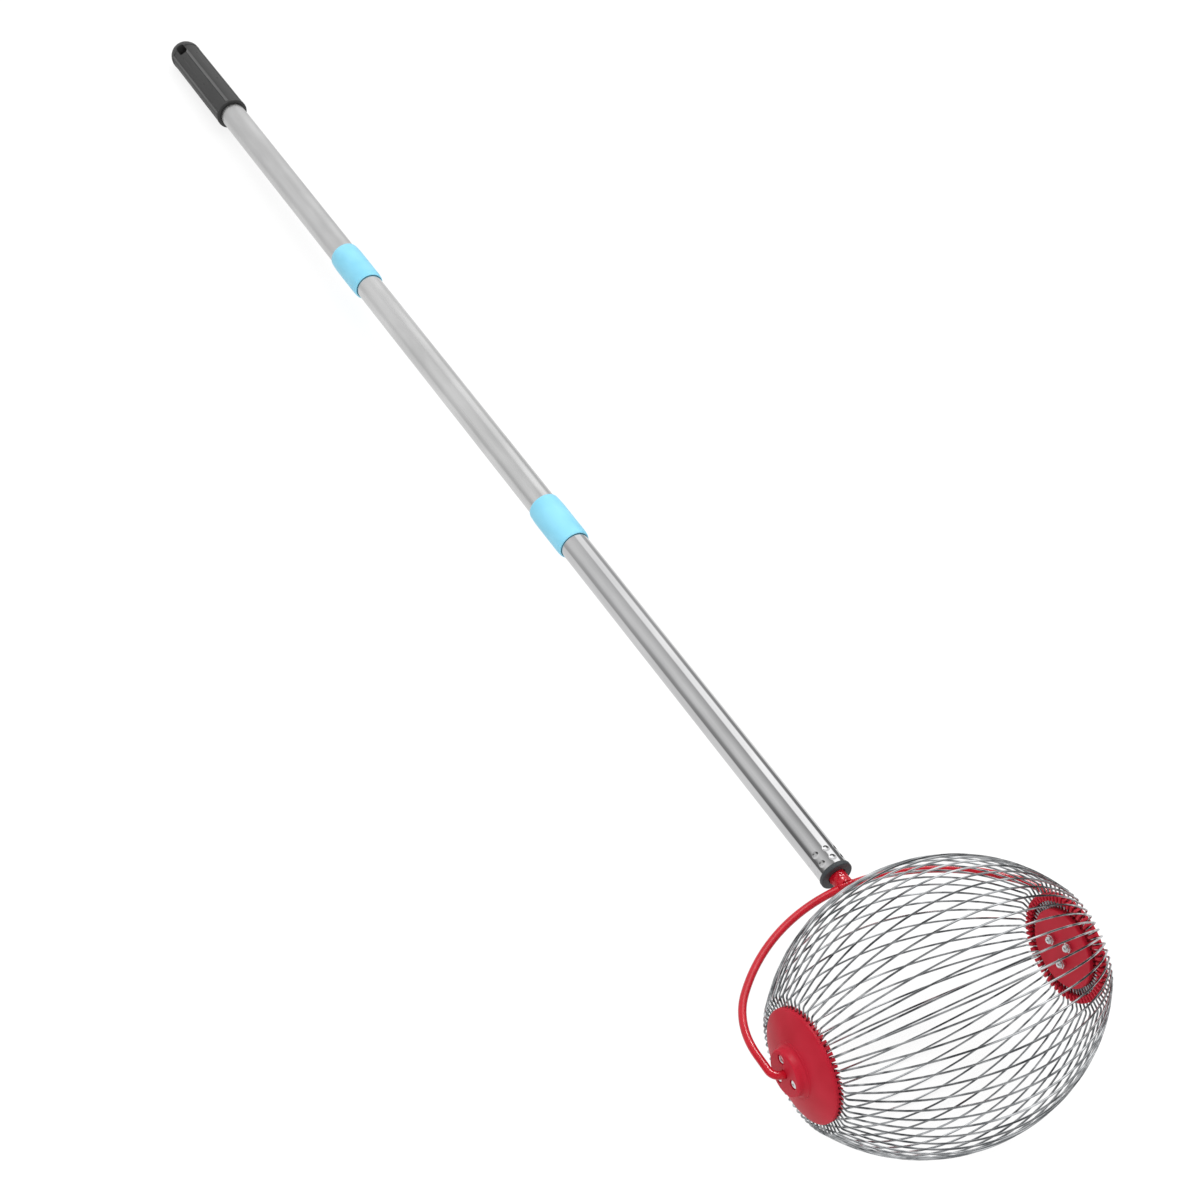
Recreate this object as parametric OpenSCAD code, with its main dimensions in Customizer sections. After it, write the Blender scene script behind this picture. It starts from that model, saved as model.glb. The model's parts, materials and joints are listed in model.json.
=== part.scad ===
// Rolling nut gatherer: a barrel of spring wires that spins in a bent rod yoke on a
// three-section screw-together pole. It lies as it is put down, on the barrel and on the grip.
// X runs along the barrel's axle, Y along the pole towards the grip, Z is up.

/* [Pole] */
// Outside diameter of the three tubes
tube_d = 25; // [22:0.5:28]
// Wall of the tubes
tube_wall = 0.8; // [0.6:0.1:1.2]
// Length of the lower tube
lower_tube_l = 404; // [250:1:600]
// Length of the middle tube
middle_tube_l = 369; // [250:1:600]
// Length of the upper tube
upper_tube_l = 382; // [250:1:600]

/* [Screw joints] */
// Length of a collar
collar_l = 53; // [48:1:70]
// Step of a collar's chamber over the tube
collar_step = 1.3; // [1.1:0.1:2.4]
// Wall of a collar round its chamber
collar_wall = 1.2; // [0.9:0.1:1.8]
// Length of a collar's neck above its shoulder
neck_l = 18; // [14:1:22]
// Length over which a collar's nose is rounded off
nose_l = 14; // [10:1:24]
// Thickness of a collar's edge at the nose
nose_edge = 0.8; // [0.4:0.1:1.2]
// Length of the lip at a collar's lower end
lip_l = 1.5; // [1:0.1:2]
// Length of the threaded head on top of a tube
head_l = 16; // [12:1:20]
// Pitch of the thread
thread_pitch = 4; // [3:0.5:5]
// Depth of the thread
thread_depth = 0.5; // [0.3:0.1:0.8]
// Thickness of the flange under a tube
foot_l = 4; // [3:0.5:6]
// Length of a ferrule's spigot in its tube
spigot_l = 25; // [15:1:40]
// Wall of a ferrule's spigot
ferrule_wall = 4; // [2:0.5:6]

/* [Grip] */
// Length of the grip
grip_l = 133; // [110:1:200]
// Wall of the grip at its open rim
grip_wall = 3.45; // [2:0.05:5]
// Loss of radius from the rim to the domed end
grip_taper = 0.5; // [0.2:0.1:1.5]
// Length of the solid end beyond the tube
grip_solid_l = 31; // [30:1:38]
// Width of the hanging slot
slot_w = 9; // [7:0.5:10]
// Length of the hanging slot along the pole
slot_l = 14; // [12:0.5:15]
// Corner radius of the hanging slot
slot_corner_r = 3; // [1:0.5:3]
// Distance from the tip to the middle of the slot
slot_from_tip = 21; // [19.5:0.5:22]
// Turn of the grip about the pole, from slot upright
grip_turn = 30; // [0:1:90]

/* [Yoke] */
// Diameter of the yoke's rod
rod_d = 6; // [5:0.1:7]
// Room between a cap's boss and the elbow beside it
elbow_room = 0.5; // [0.4:0.1:2]
// Room between the cage and the crown
crown_room_l = 11.5; // [10:0.5:25]
// Radius of the crown's bow, a quarter turn long
crown_r = 170; // [166:1:176]
// Radius of the elbows at the axle ends
elbow_r = 7.5; // [6:0.1:7.5]
// Diameter of the stem
stem_d = 14; // [12:0.5:16]
// Length of the stem
stem_l = 45; // [30:1:60]
// Length of stem that shows below the plug
stem_bare_l = 10.5; // [4:0.25:20]
// Radius of a weld bead
weld_r = 2; // [1:0.1:2.4]

/* [End plug] */
// Reach of the plug's flange beyond the tube
plug_proud = 0.7; // [0.3:0.1:1.5]
// Thickness of the plug's flange
plug_flange_l = 4; // [3:0.5:7]
// Length of the plug inside the tube
plug_body_l = 30; // [24:1:45]
// Chamfer on the plug's flange
plug_chamfer = 0.7; // [0.3:0.1:1.2]
// Number of crimp dimples in a row
dimple_count = 8; // [4:1:10]
// Radius of the punch that made the dimples
dimple_punch_r = 2.2; // [1.8:0.1:2.6]
// Depth of a dimple
dimple_depth = 0.45; // [0.2:0.05:0.5]
// Distance from the tube's end to the first row
dimple_first = 5.5; // [4:0.5:8]
// Distance between the two rows
dimple_pitch = 9; // [7:0.5:10]

/* [Cage] */
// Number of wires
wire_count = 60; // [40:4:72]
// Diameter of a wire
wire_d = 1.5; // [1.2:0.1:1.8]
// Radius of a wire's main arc, a quarter turn long
wire_arc_r = 150; // [138:1:155]
// Length of a wire's straight run between its arc and its bend
wire_run = 10.4; // [8:0.2:15]
// Radius of a wire's bend
bend_r = 4; // [3:0.5:6]
// Length of straight wire that shows beyond a cap's edge
wire_bare_l = 6.4; // [4:0.2:10]
// Length of a wire's end under the clamp disc
wire_hold_l = 5.5; // [3:0.5:8]

/* [Caps] */
// Diameter of a cap
cap_d = 84; // [80:0.5:88]
// Wall of the toothed ring
ring_wall = 5.5; // [4:0.5:7]
// Length of the teeth
tooth_l = 3.8; // [3:0.1:5]
// Width of the slots between the teeth
tooth_slot_w = 1.9; // [1.9:0.1:2.2]
// Thickness of the rim outside the slots
rim_l = 2.2; // [1.5:0.1:3]
// Rise of the dome from the rim to the boss
dome_rise = 6.5; // [4:0.5:8]
// Radius of the boss
boss_r = 17.5; // [16.5:0.5:20]
// Radius of the fillet round the boss
boss_fillet = 3.5; // [2:0.5:5]
// Height of the boss above the dome's top edge
boss_h = 7.5; // [6:0.5:8]
// Rounding of the boss's edge
boss_round = 1.6; // [0.5:0.1:2]
// Radius of the retainer cavity behind the boss
cavity_r = 7.4; // [7:0.1:7.6]
// Depth of the retainer cavity in the cap
cavity_l = 5; // [4:0.5:6]
// Diameter of a clamp disc
disc_d = 61; // [58:0.5:66]
// Thickness of a clamp disc
disc_l = 4.8; // [4:0.1:7]
// Depth of the retainer pocket in a clamp disc
disc_pocket_l = 2.6; // [2:0.1:3]
// Edge chamfer of a clamp disc
disc_chamfer = 0.6; // [0.3:0.1:1]
// Turn of the left cap's screws about the axle
left_clock = 41; // [0:1:120]
// Turn of the right cap's screws about the axle
right_clock = 87; // [0:1:120]

/* [Fasteners] */
// Number of screws in a cap
screw_count = 3; // [3:1:4]
// Radius of the screw circle
screw_circle_r = 10.8; // [10.6:0.1:11.2]
// Diameter of a screw
screw_d = 4; // [3:0.1:4.2]
// Diameter of a screw's head
screw_head_d = 7; // [6:0.1:7.4]
// Height of a screw's head
screw_head_l = 2.6; // [2:0.1:3.2]
// Depth of the screw pockets below the boss's top
pocket_l = 3.2; // [2.8:0.1:4]
// Width of the cross in a screw's head
cross_w = 0.9; // [0.6:0.1:1.2]
// Depth of the cross in a screw's head
cross_l = 1.4; // [0.8:0.1:1.6]
// Width across the flats of a dome nut
nut_flats = 7; // [6.4:0.1:7.4]
// Height of a dome nut's hexagon
nut_hex_l = 2.6; // [2:0.1:3.2]
// Diameter of a washer on the axle
washer_d = 13; // [11:0.2:13.6]
// Thickness of a washer on the axle
washer_l = 1; // [0.6:0.1:1.4]
// Diameter of a clip on the axle
clip_d = 11; // [10:0.2:12]
// Thickness of a clip on the axle
clip_l = 0.8; // [0.5:0.1:1]
// Depth of the clip's groove in the axle
clip_groove = 0.5; // [0.3:0.1:0.8]
// Length of axle beyond the clip
axle_tail = 3; // [2:0.5:4]

/* [Clearances] */
// Radial running gap between the axle and a cap's bore
axle_gap = 0.075; // [0.05:0.005:0.1]
// Radial gap between a tube and a collar's neck
neck_gap = 0.25; // [0.2:0.05:0.4]
// Radial gap between a thread and a collar's chamber
thread_gap = 0.3; // [0.25:0.05:0.4]
// Radial gap of parts pushed into or over each other
push_gap = 0.05; // [0.02:0.01:0.1]
// Gap round a screw or a nut in its hole
screw_gap = 0.15; // [0.05:0.05:0.3]
// Gap between a wire and the faces that clamp it
wire_gap = 0.05; // [0.02:0.01:0.1]
// End gap between the washer and the cavity
end_gap = 0.3; // [0.2:0.05:0.5]

/* [Hidden] */
$fn = 64;
wire_facets = 20;
arc_facets = 180;
// Steps of a drawn arc, and the overrun of every cut
arc_steps = 8;
overrun = 1;

// Radii
tube_r = tube_d / 2;
tube_bore_r = tube_r - tube_wall;
chamber_r = tube_r + collar_step;
collar_r = chamber_r + collar_wall;
neck_r = tube_r + neck_gap;
head_r = chamber_r - thread_gap;
spigot_r = tube_bore_r - push_gap;
ferrule_bore_r = spigot_r - ferrule_wall;
plug_flange_r = tube_r + plug_proud;
grip_bore_r = tube_r + push_gap;
grip_rim_r = grip_bore_r + grip_wall;
grip_dome_r = grip_rim_r - grip_taper;
rod_r = rod_d / 2;
stem_r = stem_d / 2;
wire_r = wire_d / 2;
cap_r = cap_d / 2;
disc_r = disc_d / 2;
screw_r = screw_d / 2;
screw_hole_r = screw_r + screw_gap;
pocket_r = screw_head_d / 2 + screw_gap;
nut_dome_r = nut_flats / 2;

// A wire turns an eighth of a circle in its half arc and another in its bend
eighth = 45;
wire_turn = 360 / wire_count;
stub_plane = (wire_arc_r + wire_run - bend_r) * cos(eighth) + bend_r;
wire_inner_reach = disc_r - wire_hold_l;
kink_reach = cap_r + wire_bare_l;
cage_r = kink_reach + wire_arc_r - (wire_arc_r - wire_run - bend_r) * cos(eighth);

// Places along the axle, from the middle of the cage
base_face = stub_plane + wire_r + wire_gap;
tooth_tip = base_face - tooth_l;
ridge = base_face + rim_l;
boss_foot = ridge + dome_rise;
boss_top = boss_foot + boss_h;
cavity_end = base_face + cavity_l;
disc_face = base_face - disc_l;
pocket_floor = boss_top - pocket_l;
washer_face = cavity_end - end_gap;
clip_face = washer_face - washer_l - push_gap;
nut_dome = disc_face - nut_hex_l;

// The dome of a cap is part of a sphere
boss_foot_r = boss_r + boss_fillet;
dome_below = (cap_r ^ 2 - boss_foot_r ^ 2 - dome_rise ^ 2) / (2 * dome_rise);
dome_r = sqrt(cap_r ^ 2 + dome_below ^ 2);

// The nose of a collar is an arc that starts along its wall
nose_drop = collar_r - neck_r - nose_edge;
nose_arc_r = (nose_l ^ 2 + nose_drop ^ 2) / (2 * nose_drop);
nose_turn = asin(nose_l / nose_arc_r);

// The yoke's shoulders carry on from its crown to the straight legs
yoke_half_w = boss_top + elbow_room + elbow_r;
crown_reach = cage_r + wire_r + crown_room_l + rod_r;
shoulder_r = (yoke_half_w - crown_r * cos(eighth)) / (1 - cos(eighth));
leg_l = crown_reach - crown_r + (crown_r - shoulder_r) * cos(eighth) - elbow_r;

// Stations along the pole, from the axle
tube_start = crown_reach + stem_bare_l + plug_flange_l;
lower_joint = tube_start + lower_tube_l;
middle_start = lower_joint + head_l + foot_l;
upper_joint = middle_start + middle_tube_l;
upper_start = upper_joint + head_l + foot_l;
upper_end = upper_start + upper_tube_l;
grip_rim = upper_end - (grip_l - grip_solid_l);
pole_reach = grip_rim + grip_l;
shoulder_z = collar_l - neck_l;

// How the object lies: the cage and the grip's tip touch the ground
axle_h = cage_r * cos(wire_turn / 2) + wire_r;
pole_dip = asin((axle_h - grip_dome_r) / (pole_reach - grip_dome_r));
tip_y = (pole_reach - grip_dome_r) * cos(pole_dip) + grip_dome_r;
axle_y = (axle_h - tip_y) / 2;

// Shares of the thread's pitch: crest end, root start, root end
thread_shares = [0.3, 0.45, 0.85];

// Points of an arc about a centre, from one angle to another
function arc(centre, r, from, to) =
    [for (i = [0:arc_steps]) centre + r * [cos(from + (to - from) * i / arc_steps),
        sin(from + (to - from) * i / arc_steps)]];

// The middle of the cage
module at_axle() {
    translate([0, axle_y, axle_h]) children();
}

// A piece drawn along +Z is stood on the pole at a station
module on_pole(station) {
    at_axle() rotate([-pole_dip - 90, 0, 0]) translate([0, 0, station]) children();
}

// A piece drawn in the XY plane is laid in the plane of the yoke
module in_yoke_plane() {
    at_axle() rotate([-pole_dip, 0, 0]) children();
}

// A piece drawn along +Z is set on the left or the right end of the axle
module on_end(right) {
    at_axle() rotate([0, right ? 90 : -90, 0]) children();
}

// Both ends alike
module on_both_ends() {
    on_end(false) children();
    on_end(true) children();
}

module ring(outer_r, inner_r, h) {
    difference() {
        cylinder(r = outer_r, h = h);
        translate([0, 0, -overrun]) cylinder(r = inner_r, h = h + 2 * overrun);
    }
}

// Straight round bar along +Y from the origin, with the next stretch at its end
module run(bar_r, l, sides = $fn) {
    rotate([-90, 0, 0]) cylinder(r = bar_r, h = l, $fn = sides);
    translate([0, l, 0]) children();
}

// Round bar that leaves the origin along +Y and turns left, with the next stretch at its end
module turn_left(bar_r, bend, turn, sides = $fn) {
    translate([-bend, 0, 0]) {
        rotate_extrude(angle = turn, $fn = arc_facets) translate([bend, 0]) circle(r = bar_r, $fn = sides);
        rotate([0, 0, turn]) translate([bend, 0, 0]) children();
    }
}

module tube(l) {
    ring(tube_r, tube_bore_r, l);
}

// Spherical dimples in two rows near the tube's lower end
module crimp_dimples() {
    for (row = [0:1], i = [0:dimple_count - 1])
        rotate([0, 0, 360 * i / dimple_count])
            translate([tube_r + dimple_punch_r - dimple_depth, 0, dimple_first + row * dimple_pitch])
                sphere(r = dimple_punch_r);
}

module lower_tube() {
    color("silver") on_pole(tube_start) difference() {
        tube(lower_tube_l);
        crimp_dimples();
    }
}

module middle_tube() {
    color("silver") on_pole(middle_start) tube(middle_tube_l);
}

module upper_tube() {
    color("silver") on_pole(upper_start) tube(upper_tube_l);
}

// Black plug that holds the yoke's stem in the lower tube
module end_plug() {
    color("dimgray") on_pole(tube_start) rotate_extrude() polygon([
        [stem_r + push_gap, -plug_flange_l],
        [plug_flange_r - plug_chamfer, -plug_flange_l],
        [plug_flange_r, plug_chamfer - plug_flange_l],
        [plug_flange_r, -plug_chamfer],
        [plug_flange_r - plug_chamfer, 0],
        [spigot_r, 0],
        [spigot_r, plug_body_l],
        [stem_r + push_gap, plug_body_l]]);
}

// The room that the crown takes up in a piece welded to it
module crown_room() {
    translate([0, crown_reach - crown_r, 0]) rotate([0, 0, eighth])
        rotate_extrude(angle = 2 * eighth, $fn = arc_facets)
            translate([crown_r, 0]) circle(r = rod_r + push_gap);
}

// Half of the yoke, from the middle of the crown to the grooved end of the axle
module yoke_half() {
    translate([0, crown_reach, 0]) rotate([0, 0, 2 * eighth])
        turn_left(rod_r, crown_r, eighth)
        turn_left(rod_r, shoulder_r, eighth)
        run(rod_r, leg_l)
        turn_left(rod_r, elbow_r, 2 * eighth)
        run(rod_r, yoke_half_w - elbow_r - clip_face)
        run(rod_r - clip_groove, clip_l)
        run(rod_r, axle_tail);
}

module yoke_rod() {
    color("crimson") in_yoke_plane() {
        yoke_half();
        mirror([1, 0, 0]) yoke_half();
    }
}

// Stem with a saddle over the crown
module yoke_stem() {
    color("crimson") difference() {
        on_pole(crown_reach) cylinder(r = stem_r, h = stem_l);
        in_yoke_plane() crown_room();
    }
}

// Beads along both sides of the crown, under the stem's end
module weld_beads() {
    bead_l = 2 * sqrt(stem_r ^ 2 - (rod_r + weld_r) ^ 2);
    color("firebrick") in_yoke_plane() difference() {
        for (side = [-1, 1])
            translate([-bead_l / 2, crown_reach - push_gap, side * (rod_r + weld_r / 2)])
                rotate([0, 90, 0]) cylinder(r = weld_r, h = bead_l);
        crown_room();
        translate([-bead_l, crown_reach - push_gap, -stem_d])
            cube([2 * bead_l, stem_d, 2 * stem_d]);
    }
}

module axle_washers() {
    color("lightgray") on_both_ends() translate([0, 0, washer_face - washer_l])
        ring(washer_d / 2, rod_r + push_gap, washer_l);
}

module axle_clips() {
    color("gray") on_both_ends() translate([0, 0, clip_face - clip_l + push_gap])
        ring(clip_d / 2, rod_r - clip_groove + push_gap, clip_l - 2 * push_gap);
}

// Ferrule with a threaded head on top of a tube
module threaded_head(joint) {
    turns = floor(head_l / thread_pitch);
    root_r = head_r - thread_depth;
    color("dimgray") on_pole(joint) rotate_extrude() polygon(concat(
        [[ferrule_bore_r, -spigot_l], [spigot_r, -spigot_l], [spigot_r, 0]],
        [for (i = [0:turns - 1]) each [
            [head_r, i * thread_pitch],
            [head_r, (i + thread_shares[0]) * thread_pitch],
            [root_r, (i + thread_shares[1]) * thread_pitch],
            [root_r, (i + thread_shares[2]) * thread_pitch]]],
        [[root_r, head_l], [ferrule_bore_r, head_l]]));
}

module lower_head() {
    threaded_head(lower_joint);
}

module middle_head() {
    threaded_head(upper_joint);
}

// Ferrule with the flange that a collar pulls down
module flanged_foot(start) {
    color("dimgray") on_pole(start) rotate_extrude() polygon([
        [ferrule_bore_r, -foot_l],
        [head_r, -foot_l],
        [head_r, 0],
        [spigot_r, 0],
        [spigot_r, spigot_l],
        [ferrule_bore_r, spigot_l]]);
}

module middle_foot() {
    flanged_foot(middle_start);
}

module upper_foot() {
    flanged_foot(upper_start);
}

// Sleeve nut with a shoulder inside, a lip below and a rounded nose above
module collar(start) {
    color("skyblue") on_pole(start - shoulder_z) rotate_extrude() polygon(concat(
        [[chamber_r, lip_l], [neck_r, lip_l], [neck_r, 0], [collar_r, 0]],
        arc([collar_r - nose_arc_r, collar_l - nose_l], nose_arc_r, 0, nose_turn),
        [[neck_r, collar_l], [neck_r, shoulder_z], [chamber_r, shoulder_z]]));
}

module lower_collar() {
    collar(middle_start);
}

module upper_collar() {
    collar(upper_start);
}

// Rounded slot drawn about the origin
module slot_outline() {
    x = slot_w / 2 - slot_corner_r;
    y = slot_l / 2 - slot_corner_r;
    polygon(concat(
        arc([x, y], slot_corner_r, 0, 90),
        arc([-x, y], slot_corner_r, 90, 180),
        arc([-x, -y], slot_corner_r, 180, 270),
        arc([x, -y], slot_corner_r, 270, 360)));
}

module grip() {
    color("dimgray") on_pole(grip_rim) difference() {
        rotate_extrude() polygon(concat(
            [[grip_bore_r, 0], [grip_rim_r, 0]],
            arc([0, grip_l - grip_dome_r], grip_dome_r, 0, 90),
            [[0, grip_l - grip_solid_l], [grip_bore_r, grip_l - grip_solid_l]]));
        rotate([0, 0, -grip_turn]) translate([0, 2 * grip_rim_r, grip_l - slot_from_tip])
            rotate([90, 0, 0]) linear_extrude(4 * grip_rim_r) slot_outline();
    }
}

// One slot for each wire, all round
module wire_slots(from_r, to_r, w, from_z, to_z) {
    for (i = [0:wire_count - 1])
        rotate([0, 0, (i + 1 / 2) * wire_turn])
            translate([from_r, -w / 2, from_z]) cube([to_r - from_r, w, to_z - from_z]);
}

// Whatever each screw needs, at its place round the axle
module at_screws(clock) {
    for (i = [0:screw_count - 1])
        rotate([0, 0, clock + 360 * i / screw_count])
            translate([screw_circle_r, 0, 0]) children();
}

// Cap with a toothed ring inside, a shallow dome outside and a boss for the axle
module cap(clock) {
    ring_bore_r = cap_r - ring_wall;
    difference() {
        rotate_extrude() polygon(concat(
            [[0, base_face], [ring_bore_r, base_face], [ring_bore_r, tooth_tip], [cap_r, tooth_tip]],
            [for (i = [0:arc_steps])
                let (r = cap_r + (boss_foot_r - cap_r) * i / arc_steps)
                [r, ridge - dome_below + sqrt(dome_r ^ 2 - r ^ 2)]],
            arc([boss_foot_r, boss_foot + boss_fillet], boss_fillet, 270, 180),
            arc([boss_r - boss_round, boss_top - boss_round], boss_round, 0, 90),
            [[0, boss_top]]));
        wire_slots(ring_bore_r - overrun, cap_r + overrun, tooth_slot_w, tooth_tip - overrun, base_face);
        translate([0, 0, base_face - overrun])
            cylinder(r = rod_r + axle_gap, h = boss_top - base_face + 2 * overrun);
        translate([0, 0, base_face - overrun]) cylinder(r = cavity_r, h = cavity_l + overrun);
        at_screws(clock) {
            translate([0, 0, base_face - overrun])
                cylinder(r = screw_hole_r, h = boss_top - base_face + overrun);
            translate([0, 0, pocket_floor]) cylinder(r = pocket_r, h = pocket_l + overrun);
        }
    }
}

module left_cap() {
    color("crimson") on_end(false) cap(left_clock);
}

module right_cap() {
    color("crimson") on_end(true) cap(right_clock);
}

// Disc that clamps the wires' ends against the cap
module clamp_disc(clock) {
    groove_floor = stub_plane - wire_r - wire_gap;
    difference() {
        rotate_extrude() polygon([
            [0, disc_face],
            [disc_r - disc_chamfer, disc_face],
            [disc_r, disc_face + disc_chamfer],
            [disc_r, base_face],
            [cavity_r, base_face],
            [cavity_r, base_face - disc_pocket_l],
            [0, base_face - disc_pocket_l]]);
        wire_slots(wire_inner_reach - push_gap, disc_r + overrun, wire_d + 2 * wire_gap, groove_floor,
            base_face + overrun);
        at_screws(clock) translate([0, 0, disc_face - overrun])
            cylinder(r = screw_hole_r, h = disc_l + 2 * overrun);
    }
}

module left_clamp_disc() {
    color("crimson") on_end(false) clamp_disc(left_clock);
}

module right_clamp_disc() {
    color("crimson") on_end(true) clamp_disc(right_clock);
}

// Cross-recessed screw from the boss to its nut
module cap_screw() {
    cross_span = screw_head_d - 2 * cross_w;
    tip = nut_dome + screw_gap;
    translate([0, 0, tip]) cylinder(r = screw_r, h = pocket_floor - tip);
    difference() {
        translate([0, 0, pocket_floor]) cylinder(d = screw_head_d, h = screw_head_l);
        for (turn = [0, 90])
            rotate([0, 0, turn])
                translate([-cross_span / 2, -cross_w / 2, pocket_floor + screw_head_l - cross_l])
                    cube([cross_span, cross_w, cross_l + overrun]);
    }
}

module cap_screws() {
    color("lightgray") {
        on_end(false) at_screws(left_clock) cap_screw();
        on_end(true) at_screws(right_clock) cap_screw();
    }
}

// Hexagon with a domed, closed end
module dome_nut() {
    difference() {
        union() {
            translate([0, 0, nut_dome]) cylinder(d = nut_flats / cos(30), h = nut_hex_l, $fn = 6);
            translate([0, 0, nut_dome]) rotate([180, 0, 0]) rotate_extrude() polygon(concat(
                [[0, 0]], arc([0, 0], nut_dome_r, 0, 90)));
        }
        translate([0, 0, nut_dome]) cylinder(r = screw_r + push_gap, h = nut_hex_l + overrun);
    }
}

module dome_nuts() {
    color("lightgray") {
        on_end(false) at_screws(left_clock) dome_nut();
        on_end(true) at_screws(right_clock) dome_nut();
    }
}

// End of one spring wire, from its arc to the clamp disc
module wire_end() {
    translate([0, cage_r - wire_arc_r, 0]) rotate([0, 0, 3 * eighth]) translate([wire_arc_r, 0, 0])
        run(wire_r, wire_run, wire_facets)
        turn_left(wire_r, bend_r, eighth, wire_facets)
        run(wire_r, kink_reach - wire_inner_reach, wire_facets);
}

// One spring wire, bent alike at both ends
module cage_wire() {
    translate([0, cage_r - wire_arc_r, 0]) rotate([0, 0, eighth])
        rotate_extrude(angle = 2 * eighth, $fn = arc_facets)
            translate([wire_arc_r, 0]) circle(r = wire_r, $fn = wire_facets);
    wire_end();
    mirror([1, 0, 0]) wire_end();
}

// A quarter of the cage's wires, counted from the pole over the top
module wire_quarter(quarter) {
    in_quarter = wire_count / 4;
    color("gainsboro") at_axle()
        for (i = [0:in_quarter - 1])
            rotate([(quarter * in_quarter + i + 1 / 2) * wire_turn, 0, 0]) cage_wire();
}

module upper_rear_wires() {
    wire_quarter(0);
}

module upper_front_wires() {
    wire_quarter(1);
}

module lower_front_wires() {
    wire_quarter(2);
}

module lower_rear_wires() {
    wire_quarter(3);
}

lower_tube();
end_plug();
yoke_rod();
yoke_stem();
weld_beads();
axle_washers();
axle_clips();
lower_head();
left_cap();
right_cap();
left_clamp_disc();
right_clamp_disc();
cap_screws();
dome_nuts();
upper_rear_wires();
upper_front_wires();
lower_front_wires();
lower_rear_wires();
middle_tube();
middle_foot();
middle_head();
lower_collar();
upper_tube();
upper_foot();
upper_collar();
grip();
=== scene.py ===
"""Looks of a rolling nut gatherer: a barrel of spring wires in a red yoke on a three-section pole.

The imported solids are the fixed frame. Each class below models one sub-assembly over its solids, in
millimetres along the solids' own axes, and gives every piece its finish.
"""

from __future__ import annotations

import json
import logging
import math
from dataclasses import dataclass
from enum import Enum
from itertools import pairwise
from typing import Any, Callable, Sequence

import bmesh
import bpy
from mathutils import Matrix, Vector

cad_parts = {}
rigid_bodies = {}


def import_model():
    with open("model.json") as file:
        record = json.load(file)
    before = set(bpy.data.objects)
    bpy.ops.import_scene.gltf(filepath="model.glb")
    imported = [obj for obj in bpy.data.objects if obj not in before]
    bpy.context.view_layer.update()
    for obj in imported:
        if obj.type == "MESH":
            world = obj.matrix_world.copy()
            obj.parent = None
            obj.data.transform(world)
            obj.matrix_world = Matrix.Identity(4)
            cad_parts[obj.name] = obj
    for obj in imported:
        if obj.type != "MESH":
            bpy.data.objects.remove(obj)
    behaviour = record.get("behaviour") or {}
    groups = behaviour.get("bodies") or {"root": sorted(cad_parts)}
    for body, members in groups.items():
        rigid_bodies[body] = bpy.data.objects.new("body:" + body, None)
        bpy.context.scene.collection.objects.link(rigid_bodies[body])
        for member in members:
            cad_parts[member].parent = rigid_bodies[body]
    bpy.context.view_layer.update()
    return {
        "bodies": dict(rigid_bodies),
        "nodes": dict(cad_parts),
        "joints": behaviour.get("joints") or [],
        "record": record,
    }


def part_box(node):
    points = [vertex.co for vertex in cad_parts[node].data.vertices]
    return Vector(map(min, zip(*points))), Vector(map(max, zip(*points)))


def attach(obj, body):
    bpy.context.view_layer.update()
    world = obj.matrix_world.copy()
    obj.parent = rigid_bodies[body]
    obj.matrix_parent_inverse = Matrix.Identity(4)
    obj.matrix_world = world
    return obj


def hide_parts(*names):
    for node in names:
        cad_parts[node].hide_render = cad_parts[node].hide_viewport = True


LOG = logging.getLogger("nut_gatherer")
MM = 0.001
EIGHTH = math.radians(45)
QUARTER = math.radians(90)
SMOOTH_ANGLE = math.radians(35)
MERGE_MM = 0.002
UNMOVED = Matrix.Identity(4)
CLOUD_STOPS = (0.35, 0.65)
NOISE_SPAN = (0.3, 0.7)
Point = tuple[float, float]
Size = tuple[float, float, float]
Colour = tuple[float, float, float, float]
Sockets = tuple[tuple[str, Any], ...]
Piece = bpy.types.Object
Tree = bpy.types.NodeTree
Socket = bpy.types.NodeSocket


class Side(Enum):
    """The two ends of the axle."""

    LEFT = -1
    RIGHT = 1


# Places


@dataclass(frozen=True)
class Axes:
    """The axle and the pole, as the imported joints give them."""

    axle: Vector
    pole: Vector

    @classmethod
    def read(cls, frame: dict[str, Any]) -> Axes:
        """Reads both axes from the frame.


        Returns:
            The axes, in metres.
        """
        joints = {joint["name"]: joint for joint in frame["record"]["behaviour"]["joints"]}
        pole = Vector(joints["middle_slide"]["axis"]).normalized()
        return cls(Vector(joints["cage_spin"]["pos_m"]), pole)

    @property
    def dip(self) -> float:
        """Angle by which the pole falls towards the grip."""
        return math.asin(-self.pole.z)

    def on_pole(self) -> Matrix:
        """Stands a piece drawn along +Z on the pole, with its origin at the axle."""
        return Matrix.Translation(self.axle) @ Matrix.Rotation(-self.dip - QUARTER, 4, "X")

    def in_yoke(self) -> Matrix:
        """Lays a piece drawn in the XY plane in the plane of the yoke."""
        return Matrix.Translation(self.axle) @ Matrix.Rotation(-self.dip, 4, "X")

    def on_end(self, side: Side) -> Matrix:
        """Sets a piece drawn along +Z on one end of the axle."""
        return Matrix.Translation(self.axle) @ Matrix.Rotation(side.value * QUARTER, 4, "Y")

    def span(self, node: str, radius: float) -> Point:
        """Finds where a flat-ended round node starts and stops along the pole.

        Args:
            node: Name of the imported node.
            radius: The node's radius at both ends, in mm.

        Returns:
            The two distances from the axle, in mm.
        """
        low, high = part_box(node)
        lean = radius * math.sin(self.dip)
        reach = math.cos(self.dip)
        start = ((low[1] - self.axle.y) / MM + lean) / reach
        stop = ((high[1] - self.axle.y) / MM - lean) / reach
        return start, stop


# Modelling


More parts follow.
